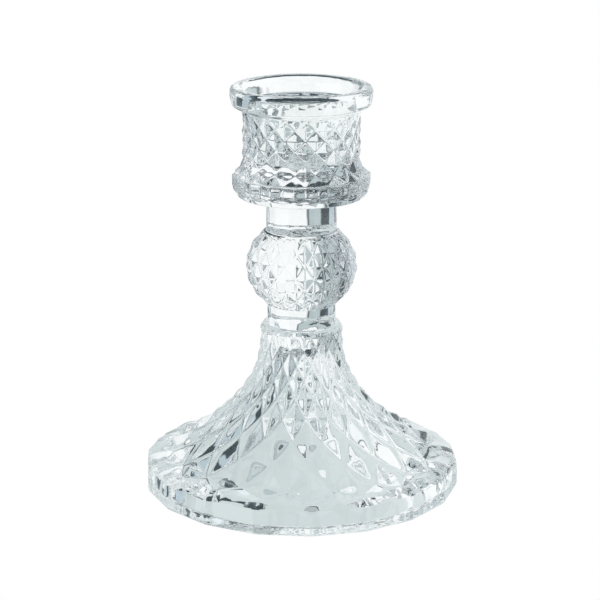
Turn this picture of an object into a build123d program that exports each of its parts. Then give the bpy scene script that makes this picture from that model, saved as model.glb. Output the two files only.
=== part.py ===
"""Pressed-glass candlestick: cup, neck, knop, collar and foot, bonded one on another.

Millimetres. The Z axis is the candlestick's axis, and z = 0 is the surface it stands on.
"""
import os
from math import acos, cos, hypot, pi, sin

from build123d import *

# Overall
HEIGHT = 105.0
PANELS = 18  # diamonds round every piece, and flat panels round the foot and the cup
CUP_RELIEF = 0.13  # height of a diamond's point above its grooves, as a share of its width
KNOP_RELIEF = 0.15  # the same on the knop
FOOT_RELIEF = 0.20  # the same on the foot

# Foot
FOOT_RADIUS = 40.8  # to the panels' edges
FOOT_PANEL_LOW = 1.0
FOOT_PANEL_HIGH = 6.8
FOOT_EDGE_BEVEL = 1.2
FOOT_ROW_HEIGHTS = (8.2, 10.9, 14.7, 18.8, 23.1, 27.2, 31.1, 34.8, 38.4, 41.8)
FOOT_TIP_RADIUS = 39.2  # at the lowest diamond tips
FOOT_NECK_RADIUS = 10.7  # at the highest diamond tips
FOOT_FLARE = 2.4  # power of the flare: higher is slimmer above and flatter below
FOOT_TOP = 43.6
FOOT_SHOULDER_ROUND = 2.4
RIM_RING_WIDTH = 9.8  # flat ring that the candlestick stands on
HOLLOW_HEIGHT = 37.0
HOLLOW_TIP_RADIUS = 4.5
HOLLOW_LIP_HEIGHT = 5.0
HOLLOW_LIP_TAPER = 1.4
HOLLOW_TIP_ROUND = 3.5
HOLLOW_LIP_ROUND = 2.0
FOOT_WALL = 4.15

# Collar between the foot and the knop, and neck between the knop and the cup
COLLAR_RADIUS = 8.75
NECK_RADIUS = 9.0
NECK_TOP = 74.5

# Knop: a flattened ball, cut off where it is as wide as the collar and the neck
KNOP_RADIUS = 14.4
KNOP_CENTRE = 58.5
KNOP_HALF_HEIGHT = 12.4  # of the whole ball
KNOP_HALF_ROWS = 6
KNOP_ROWS_LOW_TURN = -0.87  # of the lowest and highest diamond tips, above the middle
KNOP_ROWS_HIGH_TURN = 0.80
KNOP_LOW_TURN = -acos(COLLAR_RADIUS / KNOP_RADIUS)
KNOP_HIGH_TURN = acos(NECK_RADIUS / KNOP_RADIUS)
KNOP_LOW = KNOP_CENTRE + KNOP_HALF_HEIGHT * sin(KNOP_LOW_TURN)
KNOP_TOP = KNOP_CENTRE + KNOP_HALF_HEIGHT * sin(KNOP_HIGH_TURN)

# Cup
CUP_WALL_RADIUS = 15.1
SKIRT_RADIUS = 17.65
SKIRT_LOW = 78.6
SKIRT_HIGH = 82.6
UNDERSIDE_RADIUS = 15.9  # where the nearly flat underside turns up into the skirt
UNDERSIDE_LOW = 76.3  # at the stem
UNDERSIDE_HIGH = 76.9  # at its edge
SKIRT_BEVEL = 0.4
SKIRT_RISE = 1.4  # height over which the skirt reaches its full width
CUP_HALF_ROWS = 6
CUP_PATTERN_TOP = 99.0
LIP_RADIUS = 18.0
LIP_LOW = 98.6
LIP_TOP_RADIUS = 16.4
MOUTH_RADIUS = 15.0
MOUTH_SWELL = 0.4  # how far the mouth's wall bulges from a straight cone
SOCKET_RADIUS = 12.0  # takes a 22 mm taper candle with 1 mm to spare all round
SOCKET_FLOOR = 86.0
SOCKET_TOP = 99.0  # the mouth widens above this
SOCKET_FLOOR_ROUND = 1.5
OVERLAP = 1.0  # depth to which turned ends run into the diamond wall of the same piece


def ring(count, shift, radius, height):
    """Points evenly round a ring. A shift of 0.5 turns them by half a pitch."""
    angles = [2 * pi * (index + shift) / count for index in range(count)]
    return [Vector(radius * sin(a), -radius * cos(a), height) for a in angles]


def polygon(*corners):
    return Face(Wire.make_polygon(corners, close=True))


def band(low, high):
    """Flat panels between two rings that have the same corners."""
    count = len(low)
    return [
        polygon(low[i], low[(i + 1) % count], high[(i + 1) % count], high[i])
        for i in range(count)
    ]


def sunk(profile, row, depth):
    """The profile's point at a row, moved inward square to the profile."""
    radius, height = profile[row]
    run = profile[row + 1][0] - profile[row - 1][0]
    rise = profile[row + 1][1] - profile[row - 1][1]
    slant = hypot(run, rise)
    return radius - depth * rise / slant, height + depth * run / slant


def diamond_body(profile, rings_below, relief):
    """A solid of revolution whose wall is cut into pointed diamonds.

    profile holds (radius, height) for each half row of diamonds, from the lowest tips to the
    highest. The diamonds' points lie on it, and the grooves between them are sunk below it.
    Plain rings carry the wall on below the lowest tips, and flat faces close both ends. relief
    is the height of a point above its grooves, as a share of the diamond's width.
    """
    last = len(profile) - 1
    grooves = []
    points = []
    for row, (radius, height) in enumerate(profile):
        shift = 0.5 * (row % 2)
        if row in (0, last):
            grooves.append(ring(PANELS, shift, radius, height))
            points.append(None)
        else:
            depth = relief * 2 * pi * radius / PANELS
            grooves.append(ring(PANELS, shift, *sunk(profile, row, depth)))
            points.append(ring(PANELS, shift + 0.5, radius, height))

    faces = []
    for row in range(last + 1):
        step = row % 2  # the rows next to an odd one start half a pitch earlier
        for i in range(PANELS):
            left = grooves[row][i]
            right = grooves[row][(i + 1) % PANELS]
            above = grooves[row + 1][(i + step) % PANELS] if row < last else None
            below = grooves[row - 1][(i + step) % PANELS] if row > 0 else None
            if points[row] is None:
                faces.append(polygon(left, right, above or below))
            else:
                corners = [left, below, right, above]
                for corner, following in zip(corners, corners[1:] + corners[:1]):
                    faces.append(polygon(points[row][i], corner, following))

    stack = [ring(PANELS, 0, *size) for size in rings_below] + [grooves[0]]
    for low, high in zip(stack, stack[1:]):
        faces += band(low, high)
    faces += [polygon(*stack[0]), polygon(*grooves[last])]
    return Solid(Shell(faces))


def around(height):
    """A narrow range of heights, to pick out the edges that lie at one height."""
    return height - 0.01, height + 0.01


# Foot: a trumpet of diamonds on a panelled band, hollow underneath
def foot_radius(height):
    """Radius of the flare at a height."""
    low, high = FOOT_ROW_HEIGHTS[0], FOOT_ROW_HEIGHTS[-1]
    share = (high - height) / (high - low)
    return FOOT_NECK_RADIUS + (FOOT_TIP_RADIUS - FOOT_NECK_RADIUS) * share**FOOT_FLARE


ring_outer = FOOT_RADIUS - FOOT_EDGE_BEVEL
hollow_mouth = ring_outer - RIM_RING_WIDTH
foot_blank = diamond_body(
    [(foot_radius(height), height) for height in FOOT_ROW_HEIGHTS],
    [
        (ring_outer, 0),
        (FOOT_RADIUS, FOOT_PANEL_LOW),
        (FOOT_RADIUS, FOOT_PANEL_HIGH),
    ],
    FOOT_RELIEF,
)

with BuildPart() as foot:
    add(foot_blank)
    with BuildSketch(Plane.XZ):
        with BuildLine():
            shoulder_height = FOOT_ROW_HEIGHTS[-1]
            shoulder_radius = FOOT_NECK_RADIUS * cos(pi / PANELS)
            shoulder_start = (shoulder_radius, shoulder_height)
            collar_seat = (COLLAR_RADIUS, FOOT_TOP)
            Polyline(
                collar_seat,
                (0, FOOT_TOP),
                (0, shoulder_height - OVERLAP),
                (shoulder_radius - OVERLAP, shoulder_height - OVERLAP),
                shoulder_start,
            )
            RadiusArc(shoulder_start, collar_seat, -FOOT_SHOULDER_ROUND)
        make_face()
    revolve(axis=Axis.Z)
    with BuildSketch(Plane.XZ):
        with BuildLine():
            lip = (hollow_mouth - HOLLOW_LIP_TAPER, HOLLOW_LIP_HEIGHT)
            tip = (HOLLOW_TIP_RADIUS, HOLLOW_HEIGHT)
            Polyline(tip, (0, HOLLOW_HEIGHT), (0, 0), (hollow_mouth, 0), lip)
            middle = FOOT_ROW_HEIGHTS[4]
            ThreePointArc(lip, (foot_radius(middle) - FOOT_WALL, middle - FOOT_WALL), tip)
        make_face()
    revolve(axis=Axis.Z, mode=Mode.SUBTRACT)
    hollow_edges = foot.edges().filter_by(GeomType.CIRCLE)
    fillet(hollow_edges.filter_by_position(Axis.Z, *around(HOLLOW_HEIGHT)), HOLLOW_TIP_ROUND)
    fillet(hollow_edges.filter_by_position(Axis.Z, *around(HOLLOW_LIP_HEIGHT)), HOLLOW_LIP_ROUND)

# Collar: a plain round wafer
with BuildPart() as collar:
    with BuildSketch(Plane.XY.offset(FOOT_TOP)):
        Circle(COLLAR_RADIUS)
    extrude(amount=KNOP_LOW - FOOT_TOP)

# Knop: a flattened ball of diamonds, with a plain shoulder, cut flat where it is bonded
knop_profile = []
for row in range(KNOP_HALF_ROWS + 1):
    share = row / KNOP_HALF_ROWS
    turn = KNOP_ROWS_LOW_TURN + (KNOP_ROWS_HIGH_TURN - KNOP_ROWS_LOW_TURN) * share
    height = KNOP_CENTRE + KNOP_HALF_HEIGHT * sin(turn)
    knop_profile.append((KNOP_RADIUS * cos(turn), height))

with BuildPart() as knop:
    add(diamond_body(knop_profile, [(COLLAR_RADIUS / cos(pi / PANELS), KNOP_LOW)], KNOP_RELIEF))
    with BuildSketch(Plane.XZ):
        with BuildLine():
            tip_radius, tip_height = knop_profile[-1]
            flat_radius = tip_radius * cos(pi / PANELS)
            Polyline(
                (flat_radius, tip_height),
                (NECK_RADIUS, KNOP_TOP),
                (0, KNOP_TOP),
                (0, tip_height - OVERLAP),
                (flat_radius - OVERLAP, tip_height - OVERLAP),
                close=True,
            )
        make_face()
    revolve(axis=Axis.Z)

# Neck: a plain round wafer
with BuildPart() as neck:
    with BuildSketch(Plane.XY.offset(KNOP_TOP)):
        Circle(NECK_RADIUS)
    extrude(amount=NECK_TOP - KNOP_TOP)

# Cup: diamonds above a panelled skirt, a rounded lip, and the socket for the candle
row_rise = (CUP_PATTERN_TOP - SKIRT_HIGH) / CUP_HALF_ROWS
cup_profile = [(SKIRT_RADIUS - SKIRT_BEVEL, SKIRT_HIGH)]
cup_profile += [
    (CUP_WALL_RADIUS, SKIRT_HIGH + row * row_rise) for row in range(1, CUP_HALF_ROWS + 1)
]
stem_radius = NECK_RADIUS / cos(pi / PANELS)
cup_underside = [
    (stem_radius, NECK_TOP),
    (stem_radius, UNDERSIDE_LOW),
    (UNDERSIDE_RADIUS, UNDERSIDE_HIGH),
    (SKIRT_RADIUS - SKIRT_BEVEL, SKIRT_LOW),
]
cup_rings = cup_underside + [
    (SKIRT_RADIUS, SKIRT_LOW + SKIRT_RISE),
    (SKIRT_RADIUS, SKIRT_HIGH - SKIRT_BEVEL),
]

with BuildPart() as candle_cup:
    add(diamond_body(cup_profile, cup_rings, CUP_RELIEF))
    with BuildSketch(Plane.XZ):
        with BuildLine():
            lip_start = (CUP_WALL_RADIUS, LIP_LOW)
            lip_end = (LIP_TOP_RADIUS, HEIGHT)
            Polyline(
                lip_end,
                (0, HEIGHT),
                (0, LIP_LOW - OVERLAP),
                (CUP_WALL_RADIUS - OVERLAP, LIP_LOW - OVERLAP),
                lip_start,
            )
            ThreePointArc(lip_start, (LIP_RADIUS, 0.4 * LIP_LOW + 0.6 * HEIGHT), lip_end)
        make_face()
    revolve(axis=Axis.Z)
    with BuildSketch(Plane.XZ):
        with BuildLine():
            mouth_edge = (MOUTH_RADIUS, HEIGHT)
            socket_edge = (SOCKET_RADIUS, SOCKET_TOP)
            mouth_middle = (
                0.5 * (MOUTH_RADIUS + SOCKET_RADIUS) + MOUTH_SWELL,
                0.5 * (HEIGHT + SOCKET_TOP),
            )
            Polyline((0, SOCKET_FLOOR), (0, HEIGHT), mouth_edge)
            ThreePointArc(mouth_edge, mouth_middle, socket_edge)
            Polyline(socket_edge, (SOCKET_RADIUS, SOCKET_FLOOR), (0, SOCKET_FLOOR))
        make_face()
    revolve(axis=Axis.Z, mode=Mode.SUBTRACT)
    floor_edges = candle_cup.edges().filter_by(GeomType.CIRCLE)
    fillet(floor_edges.filter_by_position(Axis.Z, *around(SOCKET_FLOOR)), SOCKET_FLOOR_ROUND)

os.makedirs("parts", exist_ok=True)
foot.part.label = "foot"
export_step(foot.part, "parts/foot.step")
collar.part.label = "collar"
export_step(collar.part, "parts/collar.step")
knop.part.label = "knop"
export_step(knop.part, "parts/knop.step")
neck.part.label = "neck"
export_step(neck.part, "parts/neck.step")
candle_cup.part.label = "candle_cup"
export_step(candle_cup.part, "parts/candle_cup.step")
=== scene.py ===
from math import acos, atan2, cos, hypot, pi, radians, sin, tan

import bpy
import numpy as np
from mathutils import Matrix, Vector


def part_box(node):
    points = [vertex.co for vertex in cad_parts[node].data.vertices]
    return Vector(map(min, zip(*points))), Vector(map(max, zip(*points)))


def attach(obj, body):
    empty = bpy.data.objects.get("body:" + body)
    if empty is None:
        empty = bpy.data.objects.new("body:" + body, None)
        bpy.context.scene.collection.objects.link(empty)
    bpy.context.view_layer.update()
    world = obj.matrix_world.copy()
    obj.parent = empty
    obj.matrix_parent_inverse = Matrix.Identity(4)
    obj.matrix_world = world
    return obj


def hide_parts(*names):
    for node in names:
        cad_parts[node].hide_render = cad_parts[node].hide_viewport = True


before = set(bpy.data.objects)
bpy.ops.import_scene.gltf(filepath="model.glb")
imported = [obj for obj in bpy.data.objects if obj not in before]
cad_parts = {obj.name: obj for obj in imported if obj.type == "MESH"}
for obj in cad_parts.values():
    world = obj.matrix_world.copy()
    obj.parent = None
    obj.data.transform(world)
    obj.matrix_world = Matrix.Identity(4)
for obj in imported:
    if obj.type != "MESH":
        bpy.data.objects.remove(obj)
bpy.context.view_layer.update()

MM = 0.001  # the piece functions below are written in millimetres, the frame is in metres

# ------------------------------------------------------------------ the diamond pattern
PANELS = 18  # diamonds round every piece, and flat panels round the foot and the cup
PITCH = 2 * pi / PANELS
STEPS = 10  # mesh steps across half a diamond
COLUMNS = 2 * STEPS * PANELS
CUP_RELIEF = 0.13  # height of a diamond's point above its grooves, as a share of its width
KNOP_RELIEF = 0.15
FOOT_RELIEF = 0.20
RIDGE_SOFTNESS = 0.18  # how widely the fire polish has rounded the ridges
GROOVE_SOFTNESS = 0.11
TIP_SOFTNESS = 1e-5  # keeps the very middle of a facet smooth
PILLOW = 0.25  # how much the facets bulge
CORNER_SOFTNESS = 0.03  # of the panels' upright corners, as a share of the pitch
SHARP_ANGLE = radians(55)  # edges sharper than this stay hard

turns = np.arange(COLUMNS) * 2 * pi / COLUMNS


def facet(place):
    """Height of one family of facets: 0 in its grooves, at whole numbers, and 1 between them."""
    off_middle = np.sqrt((place - np.floor(place) - 0.5) ** 2 + TIP_SOFTNESS)
    rise = np.clip(1 - 2 * off_middle, 0, 1)
    rise = np.sqrt(rise**2 + GROOVE_SOFTNESS**2) - GROOVE_SOFTNESS
    return rise * (1 + PILLOW - PILLOW * rise)


def families(turn, row):
    """The two crossing families of grooves, which lean left and right."""
    return facet(turn / PITCH + row / 2), facet(turn / PITCH - row / 2)


def diamond(turn, row):
    """Height of the pattern, 0 in the grooves and about 1 at the points."""
    left, right = families(turn, row)
    gap = np.sqrt((left - right) ** 2 + RIDGE_SOFTNESS**2)
    return (left + right - gap + RIDGE_SOFTNESS) / 2


def polygon(turn):
    """Radius of the ring of flat panels, as a share of its corners' radius."""
    off_corner = turn / PITCH - np.round(turn / PITCH)
    soft = np.sqrt(off_corner**2 + CORNER_SOFTNESS**2)
    return cos(PITCH / 2) / np.cos(PITCH * np.clip(0.5 - soft, 0, 0.5))


# ------------------------------------------------------------------ outlines, as (radius, height)
def rounded(corners, steps=6):
    """Points along a line of (radius, height, rounding) corners, each turned into an arc."""
    points = [corners[0][:2]]
    for before, corner, after in zip(corners, corners[1:], corners[2:]):
        here = Vector(corner[:2])
        back = (Vector(before[:2]) - here).normalized()
        on = (Vector(after[:2]) - here).normalized()
        half = back.angle(on) / 2
        if corner[2] == 0:
            points.append(tuple(here))
            continue
        reach = corner[2] / tan(half)
        centre = here + (back + on).normalized() * corner[2] / sin(half)
        first = here + back * reach - centre
        swing = -first.angle_signed(here + on * reach - centre)
        for step in range(steps + 1):
            angle = swing * step / steps
            spun = (
                first.x * cos(angle) - first.y * sin(angle),
                first.x * sin(angle) + first.y * cos(angle),
            )
            points.append((centre.x + spun[0], centre.y + spun[1]))
    points.append(corners[-1][:2])
    return points


def arc_through(start, middle, end, steps):
    """Points along the circle through three points."""
    (ax, ay), (bx, by), (cx, cy) = start, middle, end
    d = 2 * (ax * (by - cy) + bx * (cy - ay) + cx * (ay - by))
    a2, b2, c2 = ax**2 + ay**2, bx**2 + by**2, cx**2 + cy**2
    ux = (a2 * (by - cy) + b2 * (cy - ay) + c2 * (ay - by)) / d
    uy = (a2 * (cx - bx) + b2 * (ax - cx) + c2 * (bx - ax)) / d
    size = hypot(ax - ux, ay - uy)
    first = atan2(ay - uy, ax - ux)
    swing = (atan2(cy - uy, cx - ux) - first + pi) % (2 * pi) - pi
    angles = [first + swing * step / steps for step in range(steps + 1)]
    return [(ux + size * cos(a), uy + size * sin(a)) for a in angles]


# ------------------------------------------------------------------ turned pieces
class TurnedPiece:
    """A closed mesh turned about Z, built ring by ring from the middle of its underside."""

    def __init__(self, relief=0.0):
        self.relief = relief
        self.rings = []
        self.rows = []  # the pattern's row at each ring, or None off the pattern
        self.bonded = []  # whether the faces that lead up to each ring are bonded to a neighbour

    def ring(self, radius, height, row=None, bonded=False):
        points = np.empty((COLUMNS, 3))
        points[:, 0] = radius * np.sin(turns)
        points[:, 1] = -radius * np.cos(turns)
        points[:, 2] = height
        self.rings.append(points * MM)
        self.rows.append(row)
        self.bonded.append(bonded)

    def plain(self, points, panel=0.0, bonded=False):
        """Rings along an outline. panel says how far they follow the flat panels."""
        for radius, height in points:
            self.ring(radius * (1 + panel * (polygon(turns) - 1)), height, bonded=bonded)

    def lobed(self, points, panel=0.0):
        """Rings whose outline, given as (radius, height, share), grows into the diamonds'."""
        for radius, height, share in points:
            sunk = self.relief * PITCH * share * (1 - diamond(turns, 0))
            self.ring(radius * (1 + panel * (polygon(turns) - 1) - sunk), height)

    def diamonds(self, outline, rows, panel=0.0, lobes=False, cut=False):
        """The diamond pattern on an outline, which gives (radius, height) for a row.

        The points of the diamonds lie on the outline and the grooves are sunk below it. They
        fade out over the last half row at a plain end, unless cut is true and they keep their
        full depth. panel says how far the lowest tips follow the flat panels, and lobes whether
        the pattern grows out of lobes below it.
        """
        places = np.linspace(0, rows, rows * STEPS + 1)
        along = np.array([outline(place) for place in places])
        slope = np.gradient(along, axis=0)
        slope /= np.hypot(slope[:, 0], slope[:, 1])[:, None]
        for place, (radius, height), (run, rise) in zip(places, along, slope):
            share = 1 if cut else min(place + lobes, rows - place, 1)
            sunk = self.relief * PITCH * radius * share * (1 - diamond(turns, place))
            follow = panel * max(0, 1 - place) * (polygon(turns) - 1)
            if lobes:
                turned = min(place, 1)
                rise, run = 1 - turned * (1 - rise), turned * run
            self.ring(radius * (1 + follow) - sunk * rise, height + sunk * run, place)

    def build(self, name):
        """The finished mesh object. Each half facet is split along its ridge."""
        bottom, top = self.rings[0][0, 2], self.rings[-1][0, 2]
        points = np.concatenate([*self.rings, [(0, 0, bottom), (0, 0, top)]])
        last = len(self.rings) - 1
        below, above = len(points) - 2, len(points) - 1
        faces = []
        bonded = []
        for side in range(COLUMNS):
            next_side = (side + 1) % COLUMNS
            faces.append((below, next_side, side))
            faces.append((above, last * COLUMNS + side, last * COLUMNS + next_side))
            bonded += [self.bonded[0], self.bonded[-1]]
        for level in range(last):
            low, high = level * COLUMNS, (level + 1) * COLUMNS
            for side in range(COLUMNS):
                next_side = (side + 1) % COLUMNS
                a, b = low + side, low + next_side
                c, d = high + next_side, high + side
                if self.rows[level] is None or self.rows[level + 1] is None:
                    faces.append((a, b, c, d))
                    bonded.append(self.bonded[level + 1])
                    continue
                middle = (side + 0.5) * 2 * pi / COLUMNS
                row = (self.rows[level] + self.rows[level + 1]) / 2
                left, right = families(middle, row)
                if left < right:
                    faces += [(a, b, d), (b, c, d)]
                else:
                    faces += [(a, b, c), (a, c, d)]
                bonded += [False, False]
        mesh = bpy.data.meshes.new(name)
        mesh.from_pydata([tuple(p) for p in points], [], faces)
        mesh.polygons.foreach_set("use_smooth", [True] * len(faces))
        mesh.set_sharp_from_angle(angle=SHARP_ANGLE)
        mesh.materials.append(glass)
        mesh.materials.append(bond)
        mesh.polygons.foreach_set("material_index", [int(b) for b in bonded])
        mesh.update()
        piece = bpy.data.objects.new(name, mesh)
        bpy.context.scene.collection.objects.link(piece)
        return piece


# ------------------------------------------------------------------ materials
def new_material(name):
    material = bpy.data.materials.new(name)
    material.use_nodes = True
    nodes = material.node_tree.nodes
    nodes.clear()
    return material, nodes, material.node_tree.links


def make_glass():
    """Clear, faintly green glass with the slight ripple of a pressing."""
    material, nodes, links = new_material("pressed_glass")
    out = nodes.new("ShaderNodeOutputMaterial")
    shader = nodes.new("ShaderNodeBsdfPrincipled")
    shader.inputs["Base Color"].default_value = (0.985, 0.996, 0.993, 1)
    shader.inputs["Roughness"].default_value = 0.0
    shader.inputs["IOR"].default_value = 1.52
    shader.inputs["Transmission Weight"].default_value = 1.0
    where = nodes.new("ShaderNodeTexCoord")
    ripple = nodes.new("ShaderNodeTexNoise")
    ripple.inputs["Scale"].default_value = 260.0
    ripple.inputs["Detail"].default_value = 1.5
    ripple.inputs["Roughness"].default_value = 0.4
    links.new(where.outputs["Object"], ripple.inputs["Vector"])
    bump = nodes.new("ShaderNodeBump")
    bump.inputs["Strength"].default_value = 1.0
    bump.inputs["Distance"].default_value = 0.00012
    links.new(ripple.outputs["Fac"], bump.inputs["Height"])
    links.new(bump.outputs["Normal"], shader.inputs["Normal"])
    links.new(shader.outputs["BSDF"], out.inputs["Surface"])
    return material


def make_bond():
    """The joint between two fused pieces, which light crosses as if it weren't there."""
    material, nodes, links = new_material("fused_joint")
    out = nodes.new("ShaderNodeOutputMaterial")
    clear = nodes.new("ShaderNodeBsdfTransparent")
    links.new(clear.outputs["BSDF"], out.inputs["Surface"])
    return material


glass = make_glass()
bond = make_bond()


# ------------------------------------------------------------------ the pieces
def edge(node):
    """A node's radius, and its lowest and highest z, in millimetres."""
    low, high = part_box(node)
    return high[1] / MM, low[2] / MM, high[2] / MM


def finish_piece(piece, node):
    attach(piece, "root")
    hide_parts(node)


def make_disc(node, name):
    """A plain round wafer between two pieces."""
    radius, bottom, top = edge(node)
    piece = TurnedPiece()
    piece.plain([(radius / 2, bottom), (radius, bottom)], bonded=True)
    levels = 8
    rise = (top - bottom) / levels
    piece.plain([(radius, bottom + rise * step) for step in range(1, levels + 1)])
    piece.plain([(radius / 2, top)], bonded=True)
    finish_piece(piece.build(name), node)


def make_foot():
    radius, _, top = edge("foot")
    seat = edge("collar")[0]
    heights = (8.2, 10.9, 14.7, 18.8, 23.1, 27.2, 31.1, 34.8, 38.4, 41.8)  # of the half rows
    tip_radius, neck_radius, flare = 39.2, 10.7, 2.4
    panel_low, panel_high, lobes_low, bevel = 4.0, 7.3, 6.6, 1.2
    ring_width = 12.4  # from the lip of the hollow to the rim
    bevel_start = 3.0  # inside the rim, on the underside
    ceiling, middle = (4.5, 37.0), (13.5, 19.0)  # of the hollow

    def outline(row):
        height = float(np.interp(row, range(len(heights)), heights))
        share = (heights[-1] - height) / (heights[-1] - heights[0])
        return neck_radius + (tip_radius - neck_radius) * share**flare, height

    mouth = radius - ring_width
    lip = (mouth, 5.0)
    arc = arc_through(ceiling, middle, lip, 32)
    piece = TurnedPiece(FOOT_RELIEF)
    piece.plain(rounded([(1.0, ceiling[1], 0), (*ceiling, 3.0), (*arc[6], 0)]))
    piece.plain(arc[7:-1])
    piece.plain(rounded([(*arc[-2], 0), (*lip, 1.0), (mouth + 1.2, 0.6, 0)])[1:])
    piece.plain(rounded([(mouth + 1.2, 0.6, 0), (mouth + 1.4, 0, 0.4), (mouth + 3, 0, 0)])[1:])
    rim = rounded([(radius - bevel_start, 0, 0), (radius, 0.0, bevel), (radius, 3.0, 0)])
    piece.plain(rim, panel=1.0)
    corners = [(radius, panel_low, 0), (radius, panel_high, 1.0), (tip_radius, heights[0], 0)]
    growth = heights[0] - lobes_low
    shoulder = [(r, z, max(0, (z - lobes_low) / growth)) for r, z in rounded(corners)]
    piece.lobed(shoulder[:-1], panel=1.0)
    piece.diamonds(outline, len(heights) - 1, panel=1.0, lobes=True, cut=True)
    piece.plain(rounded([(neck_radius - 0.1, 42.2, 0), (seat + 1.0, top, 1.0), (seat, top, 0)]))
    piece.plain([(seat / 2, top)], bonded=True)
    finish_piece(piece.build("glass_foot"), "foot")


def make_knop():
    radius, bottom, top = edge("knop")
    low_end, high_end = edge("collar")[0], edge("neck")[0]
    low_turn, high_turn = -acos(low_end / radius), acos(high_end / radius)
    half_height = (top - bottom) / (sin(high_turn) - sin(low_turn))
    centre = top - half_height * sin(high_turn)
    rows, low_row, high_row = 6, -0.87, 0.80  # the pattern stops short of both ends

    def at(turn):
        return radius * cos(turn), centre + half_height * sin(turn)

    def outline(row):
        return at(low_row + (high_row - low_row) * row / rows)

    def end(start, stop):
        return [at(start + (stop - start) * step / 4) for step in range(5)]

    piece = TurnedPiece(KNOP_RELIEF)
    piece.plain([(low_end / 2, bottom), (low_end, bottom)], bonded=True)
    piece.plain(end(low_turn, low_row)[1:-1])
    piece.diamonds(outline, rows, cut=True)
    piece.plain(end(high_row, high_turn)[1:])
    piece.plain([(high_end / 2, top)], bonded=True)
    finish_piece(piece.build("glass_knop"), "knop")


def make_cup():
    radius, bottom, top = edge("candle_cup")
    seat = edge("neck")[0]
    rows, skirt_radius, skirt_high, pattern_top = 6, 17.65, 82.6, 99.0
    wall_radius, lip_radius = 15.1, 17.95
    skirt_bevel, lobes_low, lobes_growth = 0.3, 77.4, 1.4
    flare_rows, flare = 1.4, 1.7  # how far up the wall the skirt's flare reaches, and its curve
    socket_radius, socket_floor = 12.0, 86.0  # at the bottom; it widens towards the mouth

    def outline(row):
        share = max(0.0, 1 - row / flare_rows) ** flare
        height = skirt_high + (pattern_top - skirt_high) * row / rows
        return wall_radius + (skirt_radius - skirt_bevel - wall_radius) * share, height

    piece = TurnedPiece(CUP_RELIEF)
    piece.plain([(seat / 2, bottom), (seat, bottom)], bonded=True)
    side = rounded(
        [
            (seat, 75.0, 0),
            (seat, 76.3, 0.8),
            (15.9, 76.9, 1.0),
            (skirt_radius - skirt_bevel, 78.6, 1.5),
            (skirt_radius, 80.0, 3.0),
            (skirt_radius, skirt_high, 0.3),
            (*outline(0), 0),
        ]
    )
    shares = [min(max((z - lobes_low) / lobes_growth, 0), 1) for r, z in side]
    piece.lobed([(r, z, share) for (r, z), share in zip(side[:-1], shares)])
    piece.diamonds(outline, rows, lobes=True)
    piece.plain(
        rounded(
            [
                (wall_radius, pattern_top, 0),
                (wall_radius + 0.1, pattern_top + 0.1, 0.1),
                (17.5, 100.2, 0.8),
                (18.05, 102.4, 4.0),
                (lip_radius, top - 0.1, 1.1),
                (15.4, top, 1.6),
                (13.9, 103.2, 2.5),
                (13.0, 96.0, 6.0),
                (socket_radius, socket_floor, 2.0),
                (1.0, socket_floor, 0),
            ],
            steps=8,
        )[1:]
    )
    finish_piece(piece.build("glass_cup"), "candle_cup")


make_foot()
make_disc("collar", "glass_collar")
make_knop()
make_disc("neck", "glass_neck")
make_cup()


# ------------------------------------------------------------------ the stage
TABLE_RADIUS = 0.048
TABLE_COLOUR = (0.66, 0.73, 0.74)
TABLE_GAP = 0.0002  # below the foot, so that the two never touch
DARK_ROOM = (0.04, 0.06, 0.07)
BOXES_LOW = -42  # degrees; lower down the glass sees the dark room
BOX_SOFTNESS = 1.5  # degrees
LIGHT_BOXES = (  # colour, direction, width, lowest and highest edge
    ((0.45, 0.50, 0.52), -45, 190, 66, 95),
    ((0.50, 0.60, 0.66), 138, 20, BOXES_LOW, 36),
    ((0.85, 0.93, 0.98), -163, 52, BOXES_LOW, 34),
    ((0.78, 0.86, 0.93), -130, 16, 8, 36),
    ((0.60, 0.67, 0.73), -103, 18, 18, 60),
    ((0.80, 0.86, 0.92), -72, 34, 14, 36),
    ((0.66, 0.75, 0.82), -42, 20, BOXES_LOW, 60),
    ((0.95, 0.98, 1.00), 0, 50, BOXES_LOW, 60),
    ((1.00, 1.02, 1.03), 60, 66, BOXES_LOW, 60),
    ((0.50, 0.58, 0.60), 103, 16, BOXES_LOW, 60),
)


def glow(tree, colour, kind):
    """A light that the camera sees as plain white, and the glass in its own colour."""
    path = tree.nodes.new("ShaderNodeLightPath")
    mix = tree.nodes.new("ShaderNodeMix")
    mix.data_type = "RGBA"
    tree.links.new(path.outputs["Is Camera Ray"], mix.inputs["Factor"])
    if isinstance(colour, tuple):
        mix.inputs["A"].default_value = (*colour, 1)
    else:
        tree.links.new(colour, mix.inputs["A"])
    mix.inputs["B"].default_value = (1, 1, 1, 1)
    light = tree.nodes.new(kind)
    light.inputs["Strength"].default_value = 1.0
    tree.links.new(mix.outputs["Result"], light.inputs["Color"])
    return light.outputs[0]


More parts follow.
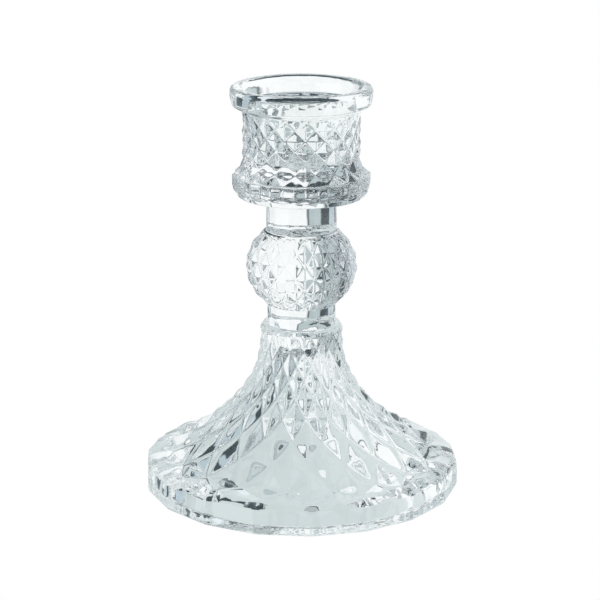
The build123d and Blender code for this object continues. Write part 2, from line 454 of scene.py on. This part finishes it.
class Studio:
    """A dark room with soft-edged light boxes in it, each painted over those before.

    Directions round the object run anticlockwise from the right of the picture, so 90 degrees
    is behind it and -90 is the camera's side.
    """

    def __init__(self, tree, point, colour):
        self.nodes, self.links = tree.nodes, tree.links
        split = self.nodes.new("ShaderNodeSeparateXYZ")
        self.links.new(point, split.inputs["Vector"])
        self.turn = self.maths("ARCTAN2", split.outputs["Y"], split.outputs["X"])
        across = self.maths("POWER", split.outputs["X"], 2.0)
        deep = self.maths("POWER", split.outputs["Y"], 2.0)
        out = self.maths("SQRT", self.maths("ADD", across, deep))
        self.climb = self.maths("ARCTAN2", split.outputs["Z"], out)
        start = self.nodes.new("ShaderNodeRGB")
        start.outputs["Color"].default_value = (*colour, 1)
        self.colour = start.outputs["Color"]

    def maths(self, operation, first, second=None, third=None):
        node = self.nodes.new("ShaderNodeMath")
        node.operation = operation
        for socket, value in zip(node.inputs, (first, second, third)):
            if value is None:
                continue
            if isinstance(value, (int, float)):
                socket.default_value = value
            else:
                self.links.new(value, socket)
        return node.outputs["Value"]

    def ramp(self, value, middle):
        """0 below middle and 1 above it, both in degrees, with a smooth change between them."""
        node = self.nodes.new("ShaderNodeMapRange")
        node.interpolation_type = "SMOOTHSTEP"
        self.links.new(value, node.inputs["Value"])
        node.inputs["From Min"].default_value = radians(middle - BOX_SOFTNESS)
        node.inputs["From Max"].default_value = radians(middle + BOX_SOFTNESS)
        return node.outputs["Result"]

    def box(self, colour, centre, width, low, high):
        """Adds a light box by its direction, its width and the heights it spans, in degrees."""
        upright = self.maths("SUBTRACT", self.ramp(self.climb, low), self.ramp(self.climb, high))
        off = self.maths("SUBTRACT", self.turn, radians(centre))
        off = self.maths("ABSOLUTE", self.maths("WRAP", off, pi, -pi))
        inside = self.maths("SUBTRACT", 1.0, self.ramp(off, width / 2))
        mix = self.nodes.new("ShaderNodeMix")
        mix.data_type = "RGBA"
        self.links.new(self.maths("MULTIPLY", upright, inside), mix.inputs["Factor"])
        self.links.new(self.colour, mix.inputs["A"])
        mix.inputs["B"].default_value = (*colour, 1)
        self.colour = mix.outputs["Result"]


def make_table():
    """A plain pale round table, one colour all over."""
    material, nodes, links = new_material("floor")
    out = nodes.new("ShaderNodeOutputMaterial")
    links.new(glow(material.node_tree, TABLE_COLOUR, "ShaderNodeEmission"), out.inputs["Surface"])
    sides = 96
    around = [2 * pi * side / sides for side in range(sides)]
    rim = [(TABLE_RADIUS * cos(angle), TABLE_RADIUS * sin(angle), 0) for angle in around]
    mesh = bpy.data.meshes.new("floor")
    mesh.from_pydata(rim, [], [tuple(range(sides))])
    mesh.materials.append(material)
    floor = bpy.data.objects.new("floor", mesh)
    floor.location.z = -TABLE_GAP
    bpy.context.scene.collection.objects.link(floor)


def make_studio():
    world = bpy.data.worlds.new("studio")
    world.use_nodes = True
    tree = world.node_tree
    tree.nodes.clear()
    out = tree.nodes.new("ShaderNodeOutputWorld")
    where = tree.nodes.new("ShaderNodeTexCoord")
    room = Studio(tree, where.outputs["Generated"], DARK_ROOM)
    for colour, centre, width, low, high in LIGHT_BOXES:
        room.box(colour, centre, width, low, high)
    tree.links.new(glow(tree, room.colour, "ShaderNodeBackground"), out.inputs["Surface"])
    bpy.context.scene.world = world


make_table()
make_studio()

# ------------------------------------------------------------------ the camera
BOUNCES = 32  # light crosses many glass faces on its way through
CAMERA_AZIMUTH = radians(-3.6)
CAMERA_DISTANCE = 0.550  # over the floor
CAMERA_HEIGHT = 0.2067
CAMERA_TILT = 0.2790  # below level, in radians
CAMERA_SHIFT = -0.0025
CAMERA_LENS = 133.62  # in millimetres, as the sensor is
CAMERA_SENSOR = 36

camera_data = bpy.data.cameras.new("camera")
camera_data.sensor_width = CAMERA_SENSOR
camera_data.lens = CAMERA_LENS
camera_data.shift_x = CAMERA_SHIFT
camera = bpy.data.objects.new("camera", camera_data)
camera.location = (
    sin(CAMERA_AZIMUTH) * CAMERA_DISTANCE,
    -cos(CAMERA_AZIMUTH) * CAMERA_DISTANCE,
    CAMERA_HEIGHT,
)
camera.rotation_euler = (pi / 2 - CAMERA_TILT, 0, CAMERA_AZIMUTH)
bpy.context.scene.collection.objects.link(camera)
bpy.context.scene.camera = camera

scene = bpy.context.scene
scene.view_settings.view_transform = "Standard"
scene.cycles.max_bounces = BOUNCES
scene.cycles.transmission_bounces = BOUNCES
scene.cycles.glossy_bounces = BOUNCES
scene.cycles.transparent_max_bounces = BOUNCES
